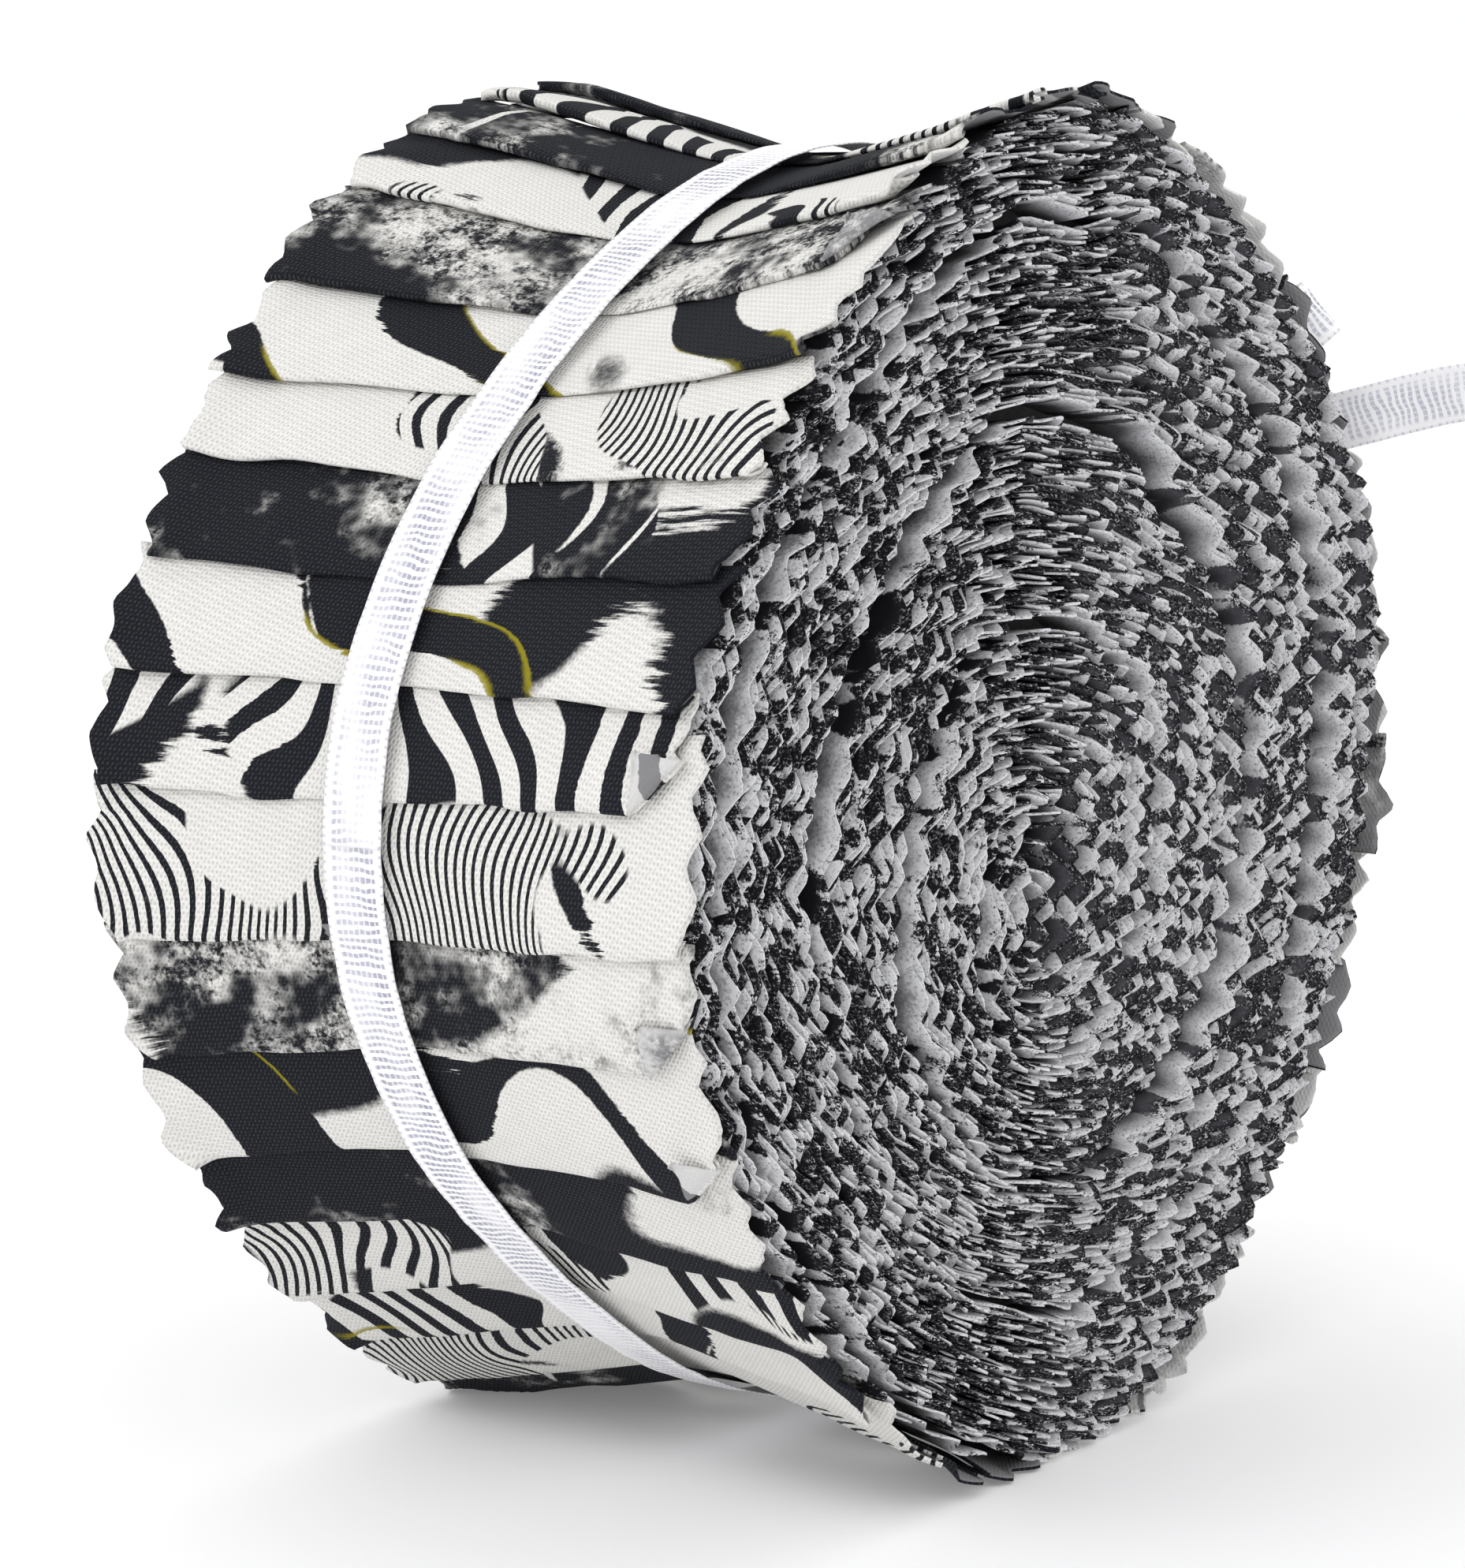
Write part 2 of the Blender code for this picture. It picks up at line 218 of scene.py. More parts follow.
class Finish:
    def __init__(self, name):
        self.material = bpy.data.materials.new(name)
        self.material.use_nodes = True
        self.tree = self.material.node_tree
        self.shader = self.tree.nodes["Principled BSDF"]

    def fill(self, sockets, values):
        for key, value in values.items():
            if isinstance(value, Value):
                self.tree.links.new(value.socket, sockets[key])
            else:
                sockets[key].default_value = value

    def give(self, values):
        self.fill(self.shader.inputs, values)

    def node(self, kind, settings, inputs, out=0):
        made = self.tree.nodes.new(kind)
        for key, value in settings.items():
            setattr(made, key, value)
        self.fill(made.inputs, inputs)
        return Value(self, made.outputs[out])

    def maths(self, operation, *terms):
        return self.node("ShaderNodeMath", dict(operation=operation), dict(enumerate(terms)))

    def vector(self, operation, inputs):
        return self.node("ShaderNodeVectorMath", dict(operation=operation), inputs)

    def mark(self, name):
        return self.node("ShaderNodeAttribute", dict(attribute_name=name), {}, out=2)

    def step(self, value, low, high):
        return self.node("ShaderNodeMapRange", dict(interpolation_type="SMOOTHSTEP"),
                         {"Value": value, "From Min": low, "From Max": high})

    def mix(self, share, a, b):
        return self.node("ShaderNodeMix", dict(data_type="RGBA"), {0: share, 6: a, 7: b}, out=2)

    def swap(self, share, a, b):
        return self.node("ShaderNodeMix", {}, {0: share, 2: a, 3: b})

    def noise(self, place, scale, detail=2.0, rough=0.5, out=0):
        return self.node("ShaderNodeTexNoise", {},
                         {"Vector": place, "Scale": scale, "Detail": detail, "Roughness": rough}, out)

    def bands(self, place, scale, direction="X", distortion=0.0, detail=0.0):
        return self.node("ShaderNodeTexWave", dict(bands_direction=direction),
                         {"Vector": place, "Scale": scale, "Distortion": distortion, "Detail": detail}, out=1)

    def scaled(self, place, size=(1.0, 1.0, 1.0), turn=0.0):
        return self.node("ShaderNodeMapping", {}, {"Vector": place, "Scale": size, "Rotation": (0.0, 0.0, turn)})

    def bump(self, height, strength, distance):
        return self.node("ShaderNodeBump", {}, {"Strength": strength, "Distance": distance, "Height": height})

    def flatPlace(self):
        uv = self.node("ShaderNodeUVMap", dict(uv_map="cloth"), {})
        return self.vector("SCALE", {0: uv, "Scale": uvSize})


# The ribbon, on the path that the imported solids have.
ribbon = dict(
    width=6.3, thick=0.12, gap=0.35, bandThick=1.0, columns=14, step=1.0,
    spread=8.0, rootWidth=3.0, rootStart=1.3,            # it opens to its full width past the knot
    pleat=1.1, ripple=0.10, rippleLong=1.9, sway=0.12, swayLong=6.0,
    knotTurn=math.radians(154), knotSize=(9.0, 8.0, 5.2), knotSeat=0.65,
    loopRoot=1.7, loopHeight=11.0, loopLift=1.25, loopRise=1.7, loopSteps=72,
    tailDrop=1.2, tailFall=2.1, bandSteps=421,
)
loopEnds = {"bow_loop_a": (28.0, 57.5, 43.5), "bow_loop_b": (-24.0, 60.5, 41.0)}
tailRoutes = {
    "ribbon_tail_a": [
        (10.5, 59.3, 25.0), (15.0, 60.4, 26.6), (20.5, 61.4, 28.7), (27.0, 62.4, 31.0), (34.0, 64.2, 33.0),
        (41.0, 66.2, 34.6), (48.0, 68.6, 34.6), (54.0, 71.2, 32.4), (58.0, 73.6, 28.0),
        (60.2, 75.6, 22.0), (60.8, 77.0, 15.5),
    ],
    "ribbon_tail_b": [
        (-7.0, 61.5, 25.0), (-11.0, 65.6, 19.5), (-13.4, 69.0, 11.5), (-14.4, 70.6, 3.0),
        (-14.4, 71.0, -6.0), (-13.6, 71.0, -15.0), (-12.4, 70.8, -24.0), (-11.4, 70.8, -32.0),
    ],
}
tailFlats = {"ribbon_tail_a": (0.0, -0.30, 0.95), "ribbon_tail_b": (1.0, 0.0, 0.15)}   # the way their width runs
raised = Vector((0.0, 0.0, drum["centreHeight"]))

ribbonLook = dict(
    thread=(0.93, 0.93, 0.955, 1.0), shade=(0.46, 0.46, 0.60, 1.0), gapAlpha=0.55,
    selvedge=0.8, selvedgeBlend=0.1, weftPitch=0.80, warpPitch=0.60, weftWander=1.3, warpCover=0.6,
    patches=(0.16, 0.06, 1.0), patchShare=0.75, evenShare=0.15,   # the weave opens in patches
    rimThread=0.35, rimShare=0.35, relief=0.4, reliefDepth=0.0001, rough=0.42, sheen=0.3,
)


def sheerRibbon():
    look = ribbonLook
    finish = Finish("sheer ribbon")
    place = finish.flatPlace()
    across = finish.node("ShaderNodeSeparateXYZ", {}, {0: place})
    along = Value(finish, across.socket.node.outputs[1])
    rim = finish.maths("ABSOLUTE", across)
    inner = ribbon["width"] / 2 - look["selvedge"]
    selvedge = finish.step(rim, inner - look["selvedgeBlend"], inner + look["selvedgeBlend"])
    wavy = along + (finish.noise(place, 0.32) - 0.5) * look["weftWander"]
    weft = finish.maths("SINE", wavy * (math.tau / look["weftPitch"]))
    warp = finish.maths("SINE", across * (math.tau / look["warpPitch"]))
    patch = finish.step(finish.noise(finish.scaled(place, look["patches"]), 1.0), 0.36, 0.62)
    sheer = (1 - finish.step(weft, -0.35, 0.35)) * (1 - finish.step(warp, 0.2, 0.9) * look["warpCover"])
    gap = sheer * (patch * look["patchShare"] + look["evenShare"])
    last = ribbon["width"] / 2 - look["rimThread"]
    thread = finish.step(weft, 0.2, 0.9) * finish.step(rim, last, last + 0.1)
    gap = gap * (1 - selvedge) + thread * look["rimShare"]
    finish.give({
        "Base Color": finish.mix(gap, look["thread"], look["shade"]),
        "Alpha": 1 - gap * (1 - look["gapAlpha"]),
        "Normal": finish.bump(1 - gap, look["relief"], look["reliefDepth"]),
        "Roughness": look["rough"], "Sheen Weight": look["sheen"],
    })
    return finish.material


ribbonMaterial = sheerRibbon()


def bandRadius(turn):
    lips = drum["stepHeight"] * drum["stepPressed"]
    return roundRadius(turn) - waistDepth(turn) + lips + ribbon["gap"] + ribbon["bandThick"] / 2


def knotFrame():
    turn = ribbon["knotTurn"]
    off = Vector((0.0, -math.cos(turn), math.sin(turn)))
    up = Vector((0.0, -math.sin(turn), -math.cos(turn)))
    radius = bandRadius(turn) + ribbon["bandThick"] / 2 + ribbon["knotSeat"] + ribbon["knotSize"][2] / 2
    centre = Vector(onDrum(ribbonX(turn), radius, turn))
    return centre, Vector((1.0, 0.0, 0.0)), up, off


def knotSide(centre, along, spot):
    side = 1 if spot.x > centre.x else -1
    return centre + along * side * (ribbon["knotSize"][0] / 2 + ribbon["rootStart"])


def openedWidth(run):
    return lerp(ribbon["rootWidth"], ribbon["width"], eased(np.minimum(np.asarray(run) / ribbon["spread"], 1.0)))


# A smooth curve through the points, then points at even steps along it.
def smoothRoute(points, spacing):
    padded = [points[0] * 2 - points[1]] + points + [points[-1] * 2 - points[-2]]
    route = []
    for a, b, c, d in zip(padded, padded[1:], padded[2:], padded[3:]):
        for i in range(12):
            t = i / 12
            route.append(0.5 * (
                b * 2 + (c - a) * t + (a * 2 - b * 5 + c * 4 - d) * t ** 2 + (b * 3 - a - c * 3 + d) * t ** 3))
    route = np.array([list(p) for p in route + [points[-1]]])
    run = runAlong(route)
    steps = np.linspace(0, run[-1], max(2, round(run[-1] / spacing)) + 1)
    return np.stack([np.interp(steps, run, route[:, i]) for i in range(3)], 1), steps


def ribbonSheet(route, run, flats, widths, seed):
    ahead = unit(np.gradient(route, axis=0))
    across = unit(flats - ahead * np.sum(flats * ahead, -1, keepdims=True))
    off = np.cross(ahead, across)
    t = np.linspace(-0.5, 0.5, ribbon["columns"] + 1)
    pleats = (1 - widths / ribbon["width"])[:, None] * ribbon["pleat"] * np.cos(t * math.tau * 3)
    ripple = (ribbon["ripple"] * wander(run[:, None] / ribbon["rippleLong"], t[None, :] * 3, seed)
              + ribbon["sway"] * wander(run[:, None] / ribbon["swayLong"], 0, seed + 1))
    place = (route[:, None] + across[:, None] * (t[None, :] * widths[:, None])[..., None]
             + off[:, None] * (pleats + ripple)[..., None])
    uv = np.stack(np.broadcast_arrays(t[None, :] * ribbon["width"], run[:, None]), -1)
    return dict(place=place, uv=uv, marks=dict(pick=0.5))


def makeRibbon(node, sheet):
    piece = makeCloth(node + "_cloth", [sheet], node, [ribbonMaterial])
    thicken(piece, ribbon["thick"])
    return piece


def makeTail(name, seed):
    centre, along, up, off = knotFrame()
    points = [Vector(p) + raised for p in tailRoutes[name]]
    root = knotSide(centre, along, points[0]) - off * ribbon["tailDrop"] - up * ribbon["tailFall"]
    route, run = smoothRoute([root] + points, ribbon["step"])
    share = np.minimum(run / (3 * ribbon["spread"]), 1.0)[:, None]
    flats = lerp(np.array(up)[None], np.array(Vector(tailFlats[name]))[None], share)
    tail = makeRibbon(name, ribbonSheet(route, run, flats, openedWidth(run), seed))
    tuple(root * mm)


makeTail("ribbon_tail_a", 21)
makeTail("ribbon_tail_b", 23)


def makeLoop(name, seed):
    centre, along, up, off = knotFrame()
    end = Vector(loopEnds[name]) + raised
    root = knotSide(centre, along, end) + off * ribbon["loopLift"] + up * ribbon["loopRise"]
    reach = end - root
    out = reach.normalized()
    face = (off - out * off.dot(out)).normalized()
    t = np.linspace(0, math.pi, ribbon["loopSteps"])
    bulge = lerp(ribbon["loopRoot"], ribbon["loopHeight"], np.sin(t) ** 2)
    route = (np.array(root)[None] + np.array(out)[None] * (reach.length * np.sin(t))[:, None]
             - np.array(face)[None] * (np.cos(t) * bulge / 2)[:, None])
    flats = np.broadcast_to(np.array(out.cross(face)), route.shape)
    widths = openedWidth(reach.length * np.sin(t))
    makeRibbon(name, ribbonSheet(route, runAlong(route), flats, widths, seed))


makeLoop("bow_loop_a", 31)
makeLoop("bow_loop_b", 33)


def makeBand():
    turn = np.linspace(0, math.tau, ribbon["bandSteps"])
    route = onDrum(ribbonX(turn), bandRadius(turn), turn)
    flats = np.broadcast_to(np.array([1.0, 0.0, 0.0]), route.shape)
    sheet = ribbonSheet(route, runAlong(route), flats, np.full(len(route), ribbon["width"]), 41)
    sheet["place"][-1] = sheet["place"][0]      # the band is closed
    makeRibbon("ribbon_band", sheet)


makeBand()


def makeKnot():
    # the ribbon goes once over the knot, and its pleats run the way it wraps
    centre, along, up, off = [np.array(v)[None, None] for v in knotFrame()]
    size = np.array(ribbon["knotSize"]) / 2
    around = np.linspace(0, math.tau, 49)
    t = np.linspace(-1, 1, 25)
    bulge = 1 - 0.16 * np.abs(t) ** 3 + 0.05 * np.cos(t * 11)
    y = np.sign(np.sin(around)) * np.abs(np.sin(around)) ** 0.75 * size[1]
    z = np.sign(np.cos(around)) * np.abs(np.cos(around)) ** 0.75 * size[2]
    place = (centre + along * (t * size[0])[:, None, None] + up * (bulge[:, None] * y[None, :])[..., None]
             + off * (bulge[:, None] * z[None, :])[..., None])
    uv = np.stack(np.broadcast_arrays(t[:, None] * 3.1, around[None, :] * 3.5), -1)
    makeRibbon("ribbon_knot", dict(place=place, uv=uv, marks=dict(pick=0.5)))


makeKnot()
print("ribbon made")


# The printed cotton.
cottonLook = dict(
    white=(0.80, 0.79, 0.76, 1.0), shade=(0.72, 0.71, 0.68, 1.0),
    # middle is the grey that the painted weave shade on the white and the painted weave highlight on the black mix
    # in
    black=(0.010, 0.011, 0.015, 1.0), middle=(0.20, 0.20, 0.215, 1.0), olive=(0.28, 0.24, 0.012, 1.0),
    reverse=(0.60, 0.595, 0.59, 1.0), inkReverse=(0.08, 0.08, 0.09, 1.0), inkThrough=0.75,
    scatter=(900.0, 657.0, 19.0),       # how far apart the strips lie in the print
    thread=0.40, bandsPerThread=0.314, uneven=0.25,
    weave=((0.0, 0.3), (math.pi / 2, 0.3), (math.radians(36), 0.4)),   # turn and share of warp, weft and rib
    paintedWeaveShade=0.34, paintedWeaveHighlight=0.16, relief=0.7, reliefReverse=0.35, reliefDepth=0.0002,
    rough=0.85, roughReverse=0.9, specular=0.12,
)

# The print's sizes, in waves or patches per mm, and where each part starts and ends on its noise.
printShape = dict(
    bendScale=0.035, bend=34.0, grain=1.6, grainShare=0.05,
    dry=(0.07, 0.9, 1.0), dryTurn=0.6, dryScale=0.07, dryRange=(0.48, 0.60), dryShare=0.55,
    strokes=0.020, broken=0.05, brokenShare=0.9, strokeRange=(1.00, 1.03),
    ground=0.030, groundRange=(0.99, 1.01), slits=0.030, slitRange=(1.04, 1.06),
    hatch=0.25, hatchPatch=0.05, hatchRange=(0.60, 0.72), bars=0.068, barsPatch=0.042, barsRange=(0.52, 0.58),
    patchRange=(0.99, 1.0), smokePatch=0.05, smokeRange=(0.96, 1.10), cloud=0.11, cloudRange=(0.42, 0.60),
    fringeIn=(0.975, 1.0), fringeOut=(1.02, 1.07), fringePatch=0.06, fringeRange=(0.56, 0.62), fringeShare=0.9,
)

# How much of each part a strip's print has.
printLooks = dict(
    bold=dict(tone=0.45, strokes=0.27, hatch=0.16, bars=0.26, smoke=0.16),
    night=dict(tone=0.68, strokes=0.10, hatch=0.10, bars=0.30, smoke=0.44),
    plain=dict(tone=0.20, strokes=0.0, hatch=0.50, bars=0.10, smoke=0.35),
    lines=dict(tone=0.46, strokes=0.08, hatch=0.52, bars=0.50, smoke=0.10),
    bars=dict(tone=0.52, strokes=0.10, hatch=0.10, bars=0.55, smoke=0.30),
    smoke=dict(tone=0.56, strokes=0.08, hatch=0.15, bars=0.20, smoke=0.56),
)
printOrder = [
    "lines", "night", "bold", "smoke", "plain", "bars", "bold", "night", "plain", "bold", "smoke", "lines", "night",
]


def clothPlace(finish):
    flat = finish.flatPlace()
    pick = finish.mark("pick")
    away = {i: pick * reach for i, reach in enumerate(cottonLook["scatter"])}
    return flat, finish.vector("ADD", {0: flat, 1: finish.node("ShaderNodeCombineXYZ", {}, away)})


def printMask(finish, place):
    # brush shapes on a toned ground, with slits, fine lines, bars and smoke; the edge serves the fringes
    look = printShape
    bent = finish.noise(place, look["bendScale"], 1.0, out=1)
    path = finish.vector("ADD", {0: place, 1: finish.vector("SCALE", {0: bent, "Scale": look["bend"]})})
    grain = finish.noise(place, look["grain"], 2.0, 0.7) - 0.5
    dry = finish.noise(finish.scaled(place, look["dry"], look["dryTurn"]), 1.0, 4.0, 0.75) - 0.5
    dryHere = finish.step(finish.noise(place, look["dryScale"], 1.0), *look["dryRange"])
    ragged = grain * look["grainShare"] + dry * dryHere * look["dryShare"]

    broken = finish.noise(place, look["broken"], 0.0) - 0.5
    edge = finish.bands(path, look["strokes"], "DIAGONAL") + ragged + broken * look["brokenShare"]
    edge = edge + finish.mark("strokes")
    ground = finish.noise(place, look["ground"], 1.0) + finish.mark("tone") + ragged * 0.3
    ink = finish.maths("MAXIMUM", finish.step(edge, *look["strokeRange"]), finish.step(ground, *look["groundRange"]))
    slits = finish.bands(path, look["slits"]) + grain * 0.04 + broken * 0.4
    ink = ink * (1 - finish.step(slits, *look["slitRange"]))

    hatch = finish.step(finish.bands(path, look["hatch"]) + grain * 0.3, *look["hatchRange"])
    hatchHere = finish.mark("hatch") + finish.noise(place, look["hatchPatch"], 1.0) + ragged * 0.1
    ink = finish.swap(finish.step(hatchHere, *look["patchRange"]), ink, hatch)
    bars = finish.step(finish.bands(path, look["bars"]) + ragged, *look["barsRange"])
    barsHere = finish.mark("bars") + finish.noise(place, look["barsPatch"], 0.0) + ragged * 0.1
    ink = finish.swap(finish.step(barsHere, *look["patchRange"]), ink, bars)
    cloud = finish.step(finish.noise(place, look["cloud"], 6.0, 0.85) + grain * 0.35, *look["cloudRange"])
    smokeHere = finish.mark("smoke") + finish.noise(place, look["smokePatch"], 4.0, 0.75)
    return finish.swap(finish.step(smokeHere, *look["smokeRange"]), ink, cloud), edge


def weaveHeight(finish, place):
    scale = cottonLook["bandsPerThread"] / cottonLook["thread"]
    warp, weft, rib = [
        share * finish.bands(finish.scaled(place, turn=turn), scale, distortion=cottonLook["uneven"], detail=2.0)
        for turn, share in cottonLook["weave"]]
    return warp + weft + rib


def printedCotton():
    look, shape = cottonLook, printShape
    finish = Finish("printed cotton")
    flat, place = clothPlace(finish)
    ink, edge = printMask(finish, place)
    weave = weaveHeight(finish, flat)
    white = finish.mix(finish.noise(place, 0.5, 3.0), look["white"], look["shade"])
    # painted shade in the weave's low places on the white cloth, and a painted highlight on the raised threads of
    # the black
    white = finish.mix((1 - finish.step(weave, 0.15, 0.50)) * look["paintedWeaveShade"], white, look["middle"])
    black = finish.mix(finish.step(weave, 0.55, 0.85) * look["paintedWeaveHighlight"], look["black"], look["middle"])
    colour = finish.mix(ink, white, black)
    fringe = finish.step(edge, *shape["fringeIn"]) * (1 - finish.step(edge, *shape["fringeOut"]))
    fringe = fringe * finish.step(finish.noise(place, shape["fringePatch"], 0.0), *shape["fringeRange"])
    fringe = fringe * finish.step(finish.mark("strokes"), 0.12, 0.15)       # only on the strips with bold strokes
    finish.give({
        "Base Color": finish.mix(fringe * shape["fringeShare"], colour, look["olive"]),
        "Normal": finish.bump(weave, look["relief"], look["reliefDepth"]),
        "Roughness": look["rough"], "Specular IOR Level": look["specular"],
    })
    return finish.material


def cottonReverse():
    look = cottonLook
    finish = Finish("cotton reverse")
    flat, place = clothPlace(finish)
    ink = printMask(finish, place)[0]
    finish.give({
        "Base Color": finish.mix(ink * look["inkThrough"], look["reverse"], look["inkReverse"]),
        "Normal": finish.bump(weaveHeight(finish, flat), look["reliefReverse"], look["reliefDepth"]),
        "Roughness": look["roughReverse"],
    })
    return finish.material


stripMaterial = printedCotton()
reverseMaterial = cottonReverse()
print("printed cotton made")


# The outer ends of the strips.
frontEnds = [  # degrees at the near and the far rim
    (-46.1, -50.7), (-36.2, -38.8), (-26.2, -30.3), (-14.5, -19.8), (-5.2, -8.7), (4.8, 2.9), (12.5, 12.4),
    (22.5, 21.6), (31.0, 31.4), (41.8, 39.2), (53.8, 49.0), (63.0, 62.0), (71.0, 72.0),
]
strips = dict(
    ends=36, pieces=4, jitterDegrees=1.0, seed=7, thick=0.30, clear=0.35,
    columns=56, crowd=1.25, rows=26, overlap=1.12, lift=1.15,
    noseAlong=(1.5, 0.7, 0.15, -0.05, 0.0, 0.3, 0.9),       # lower edge: tucked in, round the nose, over the strip
    noseHeight=(0.18, 0.16, 0.35, 0.62, 0.92, 1.08, 1.12), fall=1.22, fallPower=1.15,
    toothPitch=5.6, tooth=1.05, toothReach=3.5, uneven=0.9, frayed=0.22, roundedCorner=1.5, curl=0.6,
)
turnedCorner = dict(strips=(2, 3, 5, 10), across=5.2, along=4.6, lift=1.75, curl=0.7, cover=1.2)


def stripEnds():
    ends = [(math.radians(near), math.radians(far)) for near, far in frontEnds]
    hidden = strips["ends"] - len(ends)
    first, last = ends[0], ends[-1]
    jitter = random.Random(strips["seed"])
    for i in range(1, hidden + 1):
        t = i / (hidden + 1)
        nudge = math.radians(jitter.uniform(-strips["jitterDegrees"], strips["jitterDegrees"]))
        ends.append(tuple(lerp(last[rim], first[rim] + math.tau, t) + nudge for rim in (0, 1)))
    return ends


def stripMarks(k):
    return dict(printLooks[printOrder[k % len(printOrder)]], pick=random.Random(100 + k).random())


def stripSheet(k, ends):
    near, far = ends[k]
    nextNear, nextFar = ends[(k + 1) % len(ends)]
    if k == len(ends) - 1:
        nextNear, nextFar = nextNear + math.tau, nextFar + math.tau
    half = drum["halfWidth"]
    t = np.linspace(-1, 1, strips["columns"] + 1)
    x = half * np.sign(t) * (1 - (1 - np.abs(t)) ** strips["crowd"])       # columns crowd towards the rims
    share = (x + half) / (2 * half)
    start, stop = lerp(far, near, share), lerp(nextFar, nextNear, share)
    span = (stop - start) * drum["radius"]

    # along the strip, and its height over the drum: the lower edge, then the part that runs under the next strip
    noseAlong, noseHeight = np.array(strips["noseAlong"]), np.array(strips["noseHeight"])
    steps = strips["rows"] - len(noseAlong) + 1
    fall = np.linspace(0, 1, steps + 1)[1:]
    under = np.zeros(len(x))
    if k + 1 in turnedCorner["strips"]:     # it reaches further under a corner that is turned up
        under = turnedCorner["along"] * turnedCorner["cover"] * np.clip(x / half, 0, 1)
    s = np.concatenate([
        np.broadcast_to(noseAlong[:, None], (len(noseAlong), len(x))),
        noseAlong[-1] + fall[:, None] * (span[None] * strips["overlap"] - noseAlong[-1])
        + fall[:, None] ** 3 * under[None]])
    h = np.concatenate([
        np.broadcast_to(noseHeight[:, None], (len(noseHeight), len(x))),
        np.broadcast_to((noseHeight[-1] - strips["fall"] * fall ** strips["fallPower"])[:, None], (steps, len(x)))])

    seed = 60 + 5 * k
    waver = 0.55 * wander(x / 14, 0, seed) + 0.25 * wander(x / 5, 0, seed + 1)
    s = s + waver[None] * np.clip(1.2 - s / 6, 0, 1)
    if k in turnedCorner["strips"]:
        cutOff = turnedCorner["along"] * np.clip((x - half) / turnedCorner["across"] + 1, 0, 1)
        s = s + cutOff[None] * np.clip(1 - s / 11, 0, 1)
    creases = 0.22 * wander(x[None] / 9, s / 7, seed + 2) + 0.10 * wander(x[None] / 3, s / 6, seed + 3)
    lift = h * strips["lift"] + creases * (h > 0.3)
    turn = start[None] + s / drum["radius"]

    # the pinked rims
    edge = np.clip((np.abs(x) - (half - strips["toothReach"])) / strips["toothReach"], 0, 1)
    rims = np.sign(x)[None]
    phase = (s + 7.3 * wander(k * 1.7, 0, 5)) / strips["toothPitch"] + 0.22 * wander(s / 6, rims * 2 + k, 6)
    tooth = strips["tooth"] * triangle(phase) * (0.75 + 0.35 * wander(np.floor(phase), rims * 5 + k * 3, 7))
    away = strips["uneven"] * wander(k * 1.3, rims * 4, 8) + 0.5 * wander(s / 9, k * 2.0 + rims, 10)
    corner = strips["roundedCorner"] * np.clip(1 - s / 3.2, 0, 1) ** 2 * (0.5 + 0.5 * wander(k * 2.1, rims * 7, 11))
    frayed = strips["frayed"] * wander(s / 0.9, rims * 3 + k * 5, 13)
    xs = x[None] + rims * edge[None] * (tooth + away + frayed - corner)
    lift = lift + edge[None] ** 2 * strips["curl"] * wander(s / 4, rims * 3 + k * 7, 12)
    return dict(place=onDrum(xs, wallRadius(x[None], turn, lift), turn, strips["clear"]),
                uv=np.stack(np.broadcast_arrays(xs, s), -1), marks=stripMarks(k))


def makeStrips():
    ends = stripEnds()
    sheets = [stripSheet(k, ends) for k in range(len(ends))]
    share = len(ends) // strips["pieces"]
    for part in range(strips["pieces"]):
        piece = makeCloth(f"outer_strips_{part + 1}", sheets[part * share:(part + 1) * share],
                          "roll", [stripMaterial, reverseMaterial])
        thicken(piece, strips["thick"], -1.0, 1)


makeStrips()


def makeTurnedCorners():
    # each corner is folded over the slanted line from the lower edge to the rim, and its reverse shows
    half, across, along = drum["halfWidth"], turnedCorner["across"], turnedCorner["along"]
    fold = across ** 2 + along ** 2
    tip = (half - 2 * across * along ** 2 / fold, 2 * across ** 2 * along / fold)
    ends = stripEnds()
    sheets = []
    for k in turnedCorner["strips"]:
        u, v = np.meshgrid(np.linspace(0, 1, 25), np.linspace(0, 1, 11))
        x = lerp(half - across * (1 - u), tip[0], v)
        s = lerp(along * u, tip[1], v)
        rim = np.clip((u - 0.75) * 4, 0, 1) * np.sin(v * math.pi)
        x = x + 0.45 * rim * triangle(v * 1.6 + k * 0.3) + 0.2 * wander(u * 3, v * 3, 90 + k)
        turn = lerp(ends[k][1], ends[k][0], (x + half) / (2 * half)) + s / drum["radius"]
        lift = turnedCorner["lift"] + turnedCorner["curl"] * v ** 1.5 - 0.5 * np.clip(1 - v * 5, 0, 1)
        radius = wallRadius(x, turn, lift + 0.15 * wander(u * 4, v * 3, 95 + k))
        sheets.append(dict(place=onDrum(x, radius, turn), uv=np.stack([x, s], -1), marks=stripMarks(k)))
    piece = makeCloth("turned_corners", sheets, "roll", [reverseMaterial])
    thicken(piece, strips["thick"], -1.0)


makeTurnedCorners()
print("outer strips made")


# The layers that show at the end faces.
layerLook = dict(
    pale=(0.66, 0.66, 0.67, 1.0), worn=(0.30, 0.30, 0.32, 1.0), ink=(0.008, 0.008, 0.011, 1.0),
    reverse=(0.50, 0.50, 0.515, 1.0), inkReverse=(0.030, 0.030, 0.038, 1.0),
    # depth is the colour of the painted shade that darkens each layer below its tip, in the gaps between layers
    fibre=(0.74, 0.74, 0.76, 1.0), depth=(0.012, 0.011, 0.013, 1.0), paintedDepthShadeRange=(0.9, 4.2), paintedDepthShadeShare=0.85,
    patches=(0.07, 0.20, 0.2), inkRange=(0.475, 0.505), fuzz=3.4, wear=0.7, wornRange=(0.40, 0.66),
    cutRange=(0.50, 0.74), cutEdge=(0.40, 0.80), turnOver=0.9, inkThrough=0.9,
    relief=0.5, reliefDepth=0.0002, rough=0.9, specular=0.15,
    # the next colours are those of the near-black disc behind the layers, a painted shade
    inside=((0.02, 0.02, 0.02, 1.0), (0.06, 0.06, 0.06, 1.0)), insideSpots=900.0, insideRough=0.95,
)


